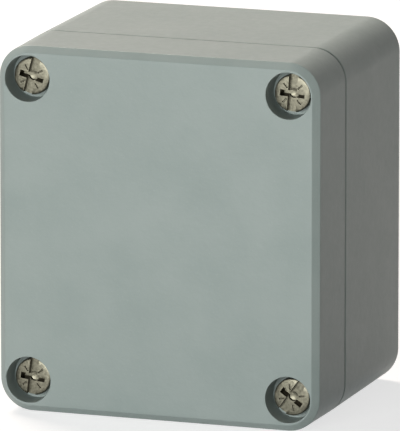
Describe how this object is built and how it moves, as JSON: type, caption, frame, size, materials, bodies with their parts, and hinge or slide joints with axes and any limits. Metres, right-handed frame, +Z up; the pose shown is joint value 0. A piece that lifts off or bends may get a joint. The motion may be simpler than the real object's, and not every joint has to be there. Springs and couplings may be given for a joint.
{
  "type": "die cast aluminium box",
  "caption": "Small coated die cast aluminium box for wall mounting, with a sealed lid held by captive screws in recessed corners.",
  "frame": {"origin": "centre of the overall box at its bottom side, on which it stands", "axes": "+Z up, +X to the right across the lid, the lid faces -Y and the wall side faces +Y"},
  "size_m": [0.0738, 0.0562, 0.0815],
  "materials": {
    "case_coating": "fine textured powder coating in silver grey",
    "seal_rubber": "matt black",
    "screw_steel": "bright rolled and turned steel",
    "ring_plastic": "natural nylon",
    "clamp_brass": "stamped brass"
  },
  "bodies": {
    "base": {"base": "case_coating", "earth_clamp_washer": "clamp_brass", "earth_spring_washer": "screw_steel", "earth_screw": "screw_steel"},
    "lid": {"lid": "case_coating", "seal": "seal_rubber", "retaining_ring_1": "ring_plastic", "retaining_ring_2": "ring_plastic", "retaining_ring_3": "ring_plastic", "retaining_ring_4": "ring_plastic"},
    "lid_screw_1": {"lid_screw_1": "screw_steel"},
    "lid_screw_2": {"lid_screw_2": "screw_steel"},
    "lid_screw_3": {"lid_screw_3": "screw_steel"},
    "lid_screw_4": {"lid_screw_4": "screw_steel"}
  },
  "joints": [
    {"name": "lid_lift", "type": "slide", "parent": "base", "child": "lid", "axis": [0, -1, 0], "range_m": [0, 0.06]},
    {"name": "screw_1_out", "type": "slide", "parent": "lid", "child": "lid_screw_1", "axis": [0, -1, 0], "range_m": [0, 0.0081]},
    {"name": "screw_2_out", "type": "slide", "parent": "lid", "child": "lid_screw_2", "axis": [0, -1, 0], "range_m": [0, 0.0081]},
    {"name": "screw_3_out", "type": "slide", "parent": "lid", "child": "lid_screw_3", "axis": [0, -1, 0], "range_m": [0, 0.0081]},
    {"name": "screw_4_out", "type": "slide", "parent": "lid", "child": "lid_screw_4", "axis": [0, -1, 0], "range_m": [0, 0.0081]}
  ]
}
